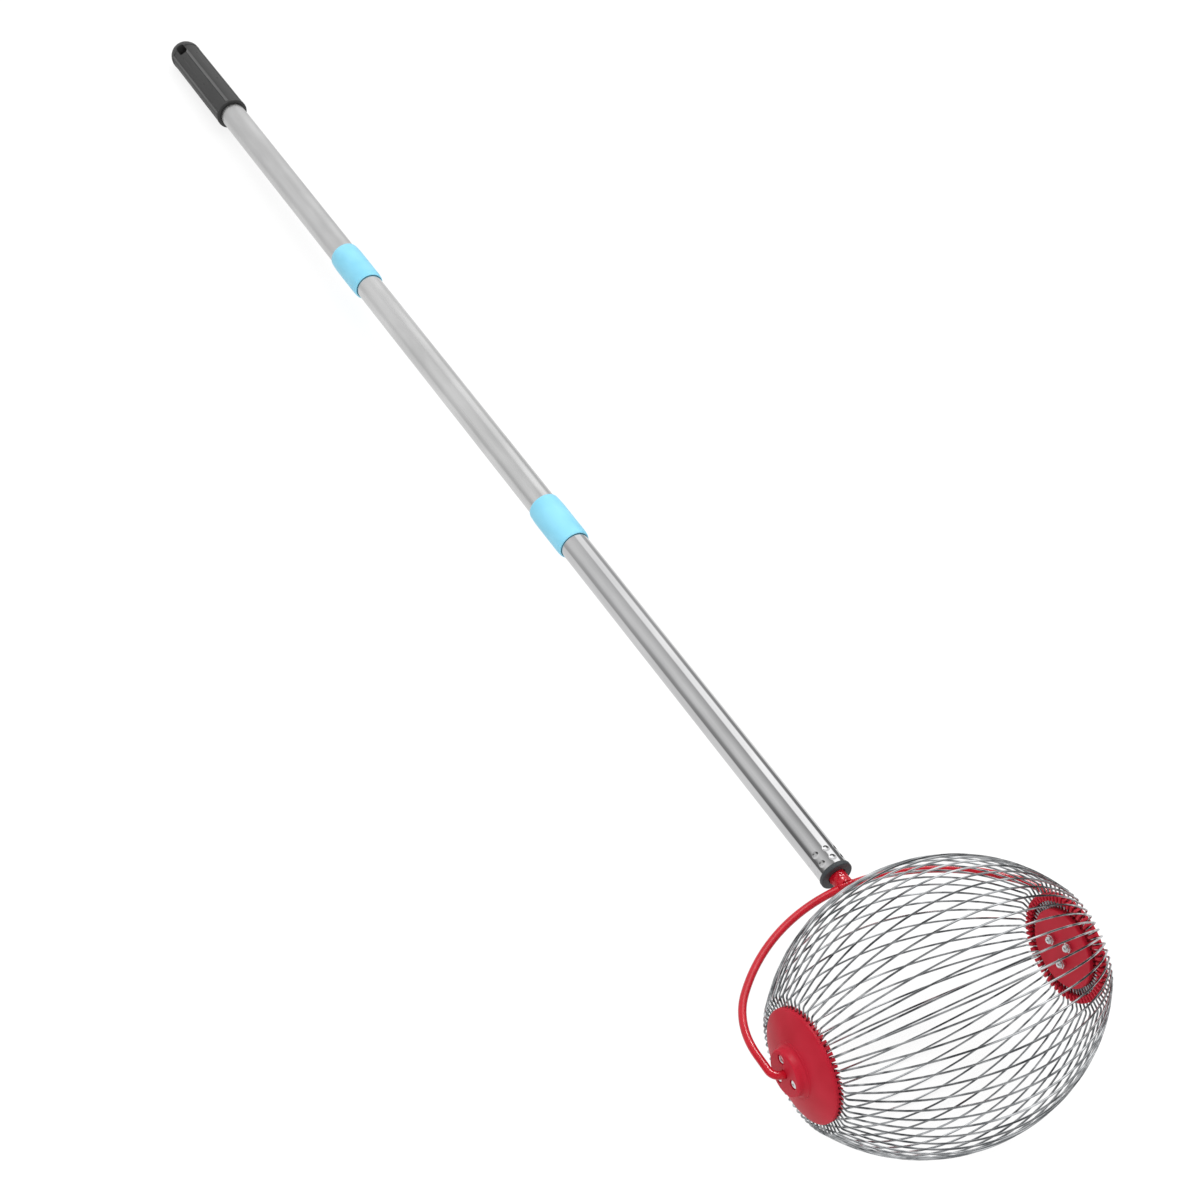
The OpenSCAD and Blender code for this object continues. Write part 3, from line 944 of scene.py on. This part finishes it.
@dataclass(frozen=True)
class Yoke:
    """The bent rod that carries the cage, with the stem welded to it, in mm."""

    axes: Axes
    cage: Cage
    rod_r: float = 3
    elbow_room: float = 0.5
    elbow_r: float = 7.5
    crown_room: float = 11.5
    crown_r: float = 170
    axle_inset: float = 0.15
    stem_r: float = 7
    stem_l: float = 30
    stem_edge: float = 0.8
    ring_first: float = 0.6
    ring_step: float = 0.4
    ring_count: int = 28
    lump_size: float = 2.4
    lump_depth: float = 1.1
    lump_rest: float = 0.7
    weld_r: float = 1.9
    drop_pitch: float = 1.7
    drop_sink: float = 0.5
    drop_change: float = 0.12
    drops_each_way: int = 3
    melt_step: float = 0.28

    @property
    def axle_end(self) -> float:
        """Distance from the middle to the tip of an axle end."""
        return self.cage.base - self.axle_inset

    @property
    def half_w(self) -> float:
        """Distance from the middle to the centre of a leg."""
        return self.cage.boss_top + self.elbow_room + self.elbow_r

    @property
    def crown_reach(self) -> float:
        """Distance from the axle to the crown's centre line."""
        return self.cage.radius + self.cage.wire_r + self.crown_room + self.rod_r

    @property
    def shoulder_r(self) -> float:
        """Radius of the shoulders between the crown and the legs."""
        return (self.half_w - self.crown_r * math.cos(EIGHTH)) / (1 - math.cos(EIGHTH))

    def build(self) -> None:
        """Models and dresses the yoke."""
        paint = RedPowderCoat()
        lumpy = RedPowderCoat("red_powder_coat_on_weld", skin=Grain.even(1.2, 1))
        dress(self.rod(), paint, "lower_section", "yoke_paint", "yoke_rod")
        dress(self.stem(), lumpy, "lower_section", "yoke_paint", "yoke_stem")
        dress(self.weld(), lumpy, "lower_section", "yoke_paint", "weld_beads")

    def rod(self) -> Piece:
        """Bends the rod from one axle end over the crown to the other."""
        leg = self.crown_reach - self.crown_r + (self.crown_r - self.shoulder_r) * math.cos(EIGHTH)
        leg -= self.elbow_r
        inside = self.half_w - self.elbow_r - self.axle_end
        bar = Bar("bent_rod", self.rod_r, 32, (self.axle_end, 0))
        bar.run(inside).turn(self.elbow_r, QUARTER, 14).run(leg).turn(self.shoulder_r, EIGHTH, 20)
        bar.turn(self.crown_r, QUARTER, 60)
        bar.turn(self.shoulder_r, EIGHTH, 20).run(leg).turn(self.elbow_r, QUARTER, 14).run(inside)
        return settle(bar.finish(), self.axes.in_yoke())

    def stem(self) -> Piece:
        """Turns the stem and roughens it where it was welded."""
        start = self.crown_reach
        heights = [self.ring_first + self.ring_step * i for i in range(self.ring_count)]
        stem = turned(
            "welded_stem",
            [
                (self.rod_r / 2, start),
                (self.stem_r - self.stem_edge, start),
                (self.stem_r - self.stem_edge / 4, start + self.stem_edge / 4),
                *[(self.stem_r, start + h) for h in heights],
                (self.stem_r, start + self.stem_l),
            ],
            sides=96,
        )
        self.roughen(stem)
        return settle(stem, self.axes.on_pole())

    def roughen(self, piece: Piece) -> None:
        """Pushes a piece's skin in and out by a cloudy pattern."""
        clouds = bpy.data.textures.new("weld_clouds", "CLOUDS")
        clouds.noise_scale = self.lump_size * MM
        pick(piece)
        lumps = piece.modifiers.new("lumps", "DISPLACE")
        lumps.texture = clouds
        lumps.strength = self.lump_depth * MM
        lumps.mid_level = self.lump_rest
        bpy.ops.object.modifier_apply(modifier=lumps.name)

    def weld(self) -> Piece:
        """Lays a row of overlapping drops along both sides of the crown under the stem."""
        drops = []
        for side in (-1, 1):
            across = side * (self.rod_r + self.drop_sink)
            for i in range(-self.drops_each_way, self.drops_each_way + 1):
                size = self.weld_r * (1 - self.drop_change * ((i + side) % 2))
                drops.append(ball(size, (self.drop_pitch * i, self.crown_reach - self.drop_sink, across)))
        beads = settle(joined(drops, "weld_drops"))
        melt = beads.modifiers.new("melt", "REMESH")
        melt.mode = "VOXEL"
        melt.voxel_size = self.melt_step * MM
        even = beads.modifiers.new("even", "SMOOTH")
        even.iterations = 3
        pick(beads)
        for modifier in (melt.name, even.name):
            bpy.ops.object.modifier_apply(modifier=modifier)
        bpy.ops.object.shade_smooth()
        return settle(beads, self.axes.in_yoke())


@dataclass(frozen=True)
class Pole:
    """The three tubes with their plug, collars and grip, in mm along the pole from the axle."""

    axes: Axes
    tube_r: float = 12.5
    wall: float = 0.8
    edge: float = 0.25
    plug_r: float = 13.2
    plug_l: float = 4
    plug_bore_r: float = 7.05
    plug_round: float = 0.9
    plug_edge: float = 0.4
    plug_gap: float = 0.05
    plug_body_l: float = 20
    collar_r: float = 15
    barrel_r: float = 14.65
    mouth_r: float = 13.4
    mouth_l: float = 7
    chamber_r: float = 13.8
    neck_r: float = 12.75
    neck_l: float = 18
    collar_l: float = 53
    lip_l: float = 1.5
    lip_edge: float = 0.225
    collar_rim: float = 0.15
    nose_l: float = 14
    nose_edge: float = 1.2
    nose_share: float = 0.8
    dent_first: float = 5.5
    dent_pitch: float = 9
    dent_count: int = 8
    dent_depth: float = 0.9
    dent_reach: float = 2.8
    grip_rim_r: float = 16
    grip_tip_r: float = 15.5
    grip_l: float = 133
    grip_solid_l: float = 31
    grip_bore_r: float = 12.55
    grip_floor_r: float = 2
    grip_round: float = 0.7
    pad_count: int = 6
    pad_edge: float = 0.5
    pad_low: float = 3
    pad_high: float = 116
    pad_depth: float = 0.6
    rib_turn: float = 13.5
    rib_half: float = 4
    pin_rows: tuple[float, ...] = (46, 98)
    pin_r: float = 1.3
    slot_w: float = 9
    slot_l: float = 14
    slot_corner_r: float = 3
    slot_from_tip: float = 21
    slot_turn: float = -30

    def build(self) -> None:
        """Models and dresses the pole."""
        lean = -self.axes.dip
        polished = DrawnTube(lean=lean)
        satin = DrawnTube("satin_tube", "#d4d4d4", "#e0e0e0", polish=(0.2, 0.28), lean=lean)
        matt = DrawnTube("matt_tube", "#d0d0d0", "#dcdcdc", polish=(0.3, 0.4), lean=lean)
        dress(self.dented_tube(), polished, "lower_section", "tube_steel", "lower_tube")
        dress(self.tube("middle_tube"), satin, "middle_section", "tube_steel", "middle_tube")
        dress(self.tube("upper_tube"), matt, "upper_section", "tube_steel", "upper_tube")
        dress(self.plug(), BlackNylon(), "lower_section", "plug_plastic", "end_plug")
        for node in ("lower_collar", "upper_collar"):
            dress(self.collar(node), BluePolypropylene(), node, "collar_plastic", node)
        vinyl = GreyVinyl(lean=lean)
        # The ribs' lighter grey is a painted highlight.
        rib_highlight = GreyVinyl("rubbed_grey_vinyl", "#4c4c4c", "#5c5c5c", lean=lean)
        dress(self.grip(vinyl, rib_highlight), vinyl, "upper_section", "grip_plastic", "grip")

    def tube(self, node: str, rows: Sequence[float] = (), sides: int = 144) -> Piece:
        """Turns a tube of the node's length.

        Args:
            node: The tube's solid.
            rows: Heights of further rings above its lower end, in mm.
            sides: Number of sides.

        Returns:
            The tube, on the pole.
        """
        start, stop = self.axes.span(node, self.tube_r)
        bore_r = self.tube_r - self.wall
        tube = turned(
            f"{node}_skin",
            [
                (bore_r, start),
                (self.tube_r - self.edge, start),
                (self.tube_r, start + self.edge),
                *[(self.tube_r, start + row) for row in rows],
                (self.tube_r, stop - self.edge),
                (self.tube_r - self.edge, stop),
                (bore_r, stop),
            ],
            sides=sides,
            closed=True,
        )
        return settle(tube, self.axes.on_pole())

    def dented_tube(self) -> Piece:
        """Turns the lower tube and punches its two rows of crimp dents."""
        first, step = 1, 0.25
        last = self.dent_first + self.dent_pitch + 2 * self.dent_reach
        rows = [first + step * i for i in range(int((last - first) / step))]
        tube = self.tube("lower_tube", rows, 288)
        start, _ = self.axes.span("lower_tube", self.tube_r)
        place = self.axes.on_pole()
        edit(tube)
        for row in range(2):
            height = Vector((0, 0, start + self.dent_first + row * self.dent_pitch))
            for i in range(self.dent_count):
                turn = 2 * math.pi * i / self.dent_count
                out = Vector((math.cos(turn), math.sin(turn), 0))
                self.dent(tube, place @ ((out * self.tube_r + height) * MM), place.to_3x3() @ out)
        deselect()
        return tube

    def dent(self, tube: Piece, spot: Vector, out: Vector) -> None:
        """Pushes one dent into a tube that is open in edit mode.

        Args:
            tube: The tube.
            spot: Where the punch hits.
            out: The way out of the tube there.
        """
        bpy.ops.mesh.select_all(action="DESELECT")
        shape = bmesh.from_edit_mesh(tube.data)
        min(shape.verts, key=lambda vert: (vert.co - spot).length_squared).select_set(True)
        bmesh.update_edit_mesh(tube.data)
        bpy.ops.transform.translate(
            value=-out * self.dent_depth * MM,
            use_proportional_edit=True,
            use_proportional_connected=True,
            proportional_edit_falloff="INVERSE_SQUARE",
            proportional_size=self.dent_reach * MM,
        )

    def plug(self) -> Piece:
        """Turns the plug's flange and the start of its body."""
        start, _ = self.axes.span("lower_tube", self.tube_r)
        low = start - self.plug_l
        r = self.plug_round
        body_r = self.tube_r - self.wall - self.plug_gap
        plug = turned(
            "flanged_plug",
            [
                (self.plug_bore_r, low + self.plug_edge),
                (self.plug_bore_r + self.plug_edge, low),
                *arc((self.plug_r - r, low + r), r, 270, 360, 5),
                *arc((self.plug_r - r, start - r), r, 0, 90, 5),
                (body_r, start),
                (body_r, start + self.plug_body_l),
                (self.plug_bore_r, start + self.plug_body_l),
            ],
            closed=True,
        )
        return settle(plug, self.axes.on_pole())

    def collar(self, node: str) -> Piece:
        """Turns a collar with a soft lower lip and a rounded nose.

        Args:
            node: The collar's solid.

        Returns:
            The collar, on the pole.
        """
        start, _ = self.axes.span(node, self.collar_r)
        drop = self.barrel_r - self.neck_r - self.nose_edge
        nose_r = (self.nose_l**2 + drop**2) / (2 * drop)
        turn = math.degrees(math.asin(self.nose_l / nose_r))
        top = start + self.collar_l
        rim = self.collar_rim
        nose = arc((self.barrel_r - nose_r, top - self.nose_l), nose_r, 0, turn, 16)[:-1]
        swell = self.barrel_r - self.mouth_r
        bow = arc((0, 0), 1, 270, 360, 16)
        mouth = [(self.mouth_r + swell * x, start + self.mouth_l * (1 + y)) for x, y in bow]
        collar = turned(
            f"{node}_sleeve",
            [
                (self.chamber_r, start + self.lip_l),
                (self.neck_r, start + self.lip_l),
                (self.neck_r, start + self.lip_edge),
                (self.neck_r + self.lip_edge, start),
                *mouth,
                *nose,
                (self.neck_r + self.nose_edge * self.nose_share, top - rim),
                (self.neck_r + rim, top),
                (self.neck_r, top - rim),
                (self.neck_r, top - self.neck_l),
                (self.chamber_r, top - self.neck_l),
            ],
            closed=True,
        )
        return settle(collar, self.axes.on_pole())

    def grip(self, vinyl: Finish, rib_highlight: Finish) -> Piece:
        """Turns the grip, sinks its pads and cuts its hanging slot.

        Args:
            vinyl: Finish of the grip.
            rib_highlight: Finish of the ribs between its pads: the grip's grey made lighter, as a painted
                highlight.

        Returns:
            The grip, on the pole.
        """
        rim = self.axes.span("upper_tube", self.tube_r)[1] + self.grip_solid_l - self.grip_l
        taper = (self.grip_rim_r - self.grip_tip_r) / (self.grip_l - self.grip_tip_r)
        r = self.grip_round
        outline = [
            (self.grip_floor_r, self.grip_l - self.grip_solid_l),
            (self.grip_bore_r, self.grip_l - self.grip_solid_l),
            (self.grip_bore_r, r),
            (self.grip_bore_r + r / 2, 0),
            *arc((self.grip_rim_r - r, r), r, 270, 360, 5),
            *[(self.grip_rim_r - taper * z, z) for z in (self.pad_low, self.pad_high)],
            *arc((0, self.grip_l - self.grip_tip_r), self.grip_tip_r, 0, 85, 17),
            (0, self.grip_l),
        ]
        grip = turned("padded_grip", outline, sides=120)
        for finish in (vinyl, rib_highlight):
            grip.data.materials.append(finish.material())
        self.pads(grip)
        carve(grip, self.pin_marks())
        carve(grip, self.slot())
        return settle(grip, self.axes.on_pole() @ Matrix.Translation((0, 0, rim * MM)))

    def pads(self, grip: Piece) -> None:
        """Sinks long pads into the grip and paints the ribs between them a lighter grey, as a painted
        highlight.
        """
        edit(grip)

        def on_side(middle: Vector) -> bool:
            """Whether a face lies on the stretch of outer skin that has pads."""
            mid_wall_r = (self.grip_bore_r + self.grip_tip_r) / 2
            outside = math.hypot(middle.x, middle.y) > mid_wall_r
            return outside and self.pad_low < middle.z < self.pad_high

        def on_rib(middle: Vector) -> bool:
            """Whether a face lies on a rib between two pads."""
            turn = math.degrees(math.atan2(middle.y, middle.x)) % (360 / self.pad_count)
            return on_side(middle) and abs(turn - self.rib_turn) < self.rib_half

        # The ribs get the lighter grey: a painted highlight.
        pick_faces(grip, on_rib)
        grip.active_material_index = 1
        bpy.ops.object.material_slot_assign()
        pick_faces(grip, lambda middle: on_side(middle) and not on_rib(middle))
        bpy.ops.mesh.inset(thickness=self.pad_edge * MM, depth=-self.pad_depth * MM)
        deselect()

    def pin_marks(self) -> Piece:
        """Models the round marks that the mould's pins left on the pads."""
        marks = []
        for row in self.pin_rows:
            for i in range(self.pad_count):
                turn = math.radians(self.rib_turn + 360 / self.pad_count * (i + 0.5))
                x, y = math.cos(turn) * self.grip_rim_r, math.sin(turn) * self.grip_rim_r
                marks.append(ball(self.pin_r, (x, y, row)))
        return settle(joined(marks, "pin_marks"))

    def slot(self) -> Piece:
        """Models the shape of the hanging slot, across the grip."""
        reach = 2 * self.grip_rim_r
        middle = self.grip_l - self.slot_from_tip
        low = (-self.slot_w / 2, -reach, middle - self.slot_l / 2)
        high = (self.slot_w / 2, reach, middle + self.slot_l / 2)
        slot = block("slot", low, high)
        edit(slot)
        bpy.ops.mesh.select_mode(type="EDGE")
        bpy.ops.mesh.select_all(action="DESELECT")
        shape = bmesh.from_edit_mesh(slot.data)
        for side in shape.edges:
            along = side.verts[0].co - side.verts[1].co
            side.select_set(abs(along.y) > reach * MM)
        bmesh.update_edit_mesh(slot.data)
        bpy.ops.mesh.bevel(offset=self.slot_corner_r * MM, segments=8, affect="EDGES")
        deselect()
        return settle(slot, Matrix.Rotation(math.radians(self.slot_turn), 4, "Z"))


@dataclass(frozen=True)
class HiddenParts:
    """Solids whose shape is right and that only need a finish."""

    nodes: dict[str, Piece]

    def build(self) -> None:
        """Gives each solid its finish."""
        for names, finish in (
            (("axle_washers", "axle_clips"), BrightZinc()),
            (("lower_head", "middle_foot", "middle_head", "upper_foot"), BlackNylon()),
            (("left_clamp_disc", "right_clamp_disc"), RedAbs()),
        ):
            for name in names:
                for place in self.nodes[name].material_slots:
                    place.material = finish.material()
                LOG.info("%s: %s", name, finish.name)


@dataclass(frozen=True)
class Studio:
    """Camera, pale floor and soft light.

    The walls' greys are places round the room with their brightness.
    """

    eye: Size = (-0.81230, -1.21728, 1.46829)
    turn_deg: Size = (42.844, -7.2035, -29.681)
    focal_px: float = 2350
    frame_px: float = 1200
    sensor_mm: float = 36
    far_m: float = 50
    floor_m: float = 30
    floor_glow: float = 0.82
    aim_at: Size = (0, -0.2, 0)
    wall_greys: tuple[Point, ...] = (
        (0, 0.04), (0.04, 0.03), (0.06, 0.85), (0.46, 0.85), (0.478, 0.04),
        (0.56, 0.03), (0.58, 1.6), (0.7, 1.6), (0.715, 0.1), (0.75, 0.18),
        (0.8, 0.45), (0.867, 0.75), (0.93, 0.6), (0.97, 0.2), (0.99, 0.03),
    )

    def build(self) -> None:
        """Sets the stage."""
        self.camera()
        self.floor()
        self.room()
        self.lamps()

    def camera(self) -> None:
        """Places the camera where the photograph was taken from."""
        lens = bpy.data.cameras.new("camera")
        lens.sensor_width = self.sensor_mm
        lens.lens = self.focal_px / self.frame_px * self.sensor_mm
        lens.clip_end = self.far_m
        camera = bpy.data.objects.new("camera", lens)
        camera.location = self.eye
        camera.rotation_euler = [math.radians(angle) for angle in self.turn_deg]
        bpy.context.scene.collection.objects.link(camera)
        bpy.context.scene.camera = camera
        bpy.context.scene.view_settings.view_transform = "Standard"

    def floor(self) -> None:
        """Lays a plain pale floor that glows a little, so that shadows stay faint on it."""
        deselect()
        bpy.ops.mesh.primitive_plane_add(size=self.floor_m)
        floor = bpy.context.active_object
        floor.name = "floor"
        paper = bpy.data.materials.new("white_paper")
        paper.use_nodes = True
        looks = {
            "Base Color": linear("#787878"),
            "Roughness": 0.9,
            "Specular IOR Level": 0.1,
            "Emission Color": linear("#ffffff"),
            "Emission Strength": self.floor_glow,
        }
        set_inputs(paper.node_tree, paper.node_tree.nodes["Principled BSDF"], looks)
        floor.data.materials.append(paper)
        floor.visible_glossy = False

    def room(self) -> None:
        """Surrounds the object with a soft room: light walls, a bright side, dark gaps and plain ends."""
        world = bpy.data.worlds.new("room")
        bpy.context.scene.world = world
        world.use_nodes = True
        tree = world.node_tree
        way = add_node(tree, "ShaderNodeTexCoord", {}).outputs["Generated"]
        x, y, z = add_node(tree, "ShaderNodeSeparateXYZ", {"Vector": way}).outputs
        turn = add_node(tree, "ShaderNodeMath", {0: z, 1: x}, operation="ARCTAN2").outputs[0]
        names = ("Value", "From Min", "From Max", "To Max")
        share, ahead, behind, above, back = (
            add_node(tree, "ShaderNodeMapRange", dict(zip(names, values)))
            for values in (
                (turn, -math.pi, math.pi, 1),
                (y, 0.42, 0.74, 1),
                (y, 0.1, -0.2, 1),
                (z, 0.45, 0.7, 1),
                (y, -0.15, -0.5, 0.65),
            )
        )
        walls = add_node(tree, "ShaderNodeValToRGB", {"Fac": share.outputs[0]})
        stops = walls.color_ramp.elements
        while len(stops) < len(self.wall_greys):
            stops.new(0.5)
        for stop, (place, grey) in zip(stops, self.wall_greys):
            stop.position = place
            stop.color = (grey, grey, grey, 1)
        corner = {0: behind.outputs[0], 1: above.outputs[0]}
        dim = add_node(tree, "ShaderNodeMath", corner, operation="MULTIPLY")
        light = walls.outputs["Color"]
        for part, grey in ((ahead, "#ececec"), (dim, "#3c3c3c"), (back, "#c4c4c4")):
            shades = {"Factor": part.outputs[0], "A": light, "B": linear(grey)}
            light = add_node(tree, "ShaderNodeMix", shades, data_type="RGBA").outputs["Result"]
        set_inputs(tree, tree.nodes["Background"], {"Color": light, "Strength": 1.0})

    def lamps(self) -> None:
        """Hangs three soft lamps that make no reflection and one that only makes highlights."""
        for name, place, size, watts, shines in (
            ("overhead", (0.3, 0.2, 2.6), 3.0, 62.0, False),
            ("left", (-2.2, -0.6, 1.6), 1.4, 16.0, False),
            ("front", (-0.5, -2.6, 1.4), 1.4, 12.0, False),
            ("highlight", (0.75, 0.57, 2.74), 1.0, 60.0, True),
        ):
            lamp = bpy.data.lights.new(name, "AREA")
            lamp.size = size
            lamp.energy = watts
            holder = bpy.data.objects.new(name, lamp)
            holder.location = place
            aim = Vector(self.aim_at) - Vector(place)
            holder.rotation_euler = aim.to_track_quat("-Z", "Y").to_euler()
            holder.visible_glossy = shines
            holder.visible_diffuse = not shines
            bpy.context.scene.collection.objects.link(holder)

    @staticmethod
    def shine_on(names: Sequence[str]) -> None:
        """Lets the highlight lamp light the named pieces alone."""
        glossy = bpy.data.collections.new("glossy_pieces")
        for name in names:
            glossy.objects.link(bpy.data.objects[name])
        bpy.data.objects["highlight"].light_linking.receiver_collection = glossy


def main() -> None:
    """Builds every sub-assembly round the frame."""
    logging.basicConfig(level=logging.INFO, format="%(name)s: %(message)s")
    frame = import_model()
    axes = Axes.read(frame)
    studio = Studio()
    studio.build()
    cage = Cage(axes)
    cage.build()
    Yoke(axes, cage).build()
    Pole(axes).build()
    HiddenParts(frame["nodes"]).build()
    studio.shine_on(("bent_rod", "welded_stem", "weld_drops", "left_toothed_cap", "right_toothed_cap"))
    deselect()


if __name__ == "__main__":
    main()
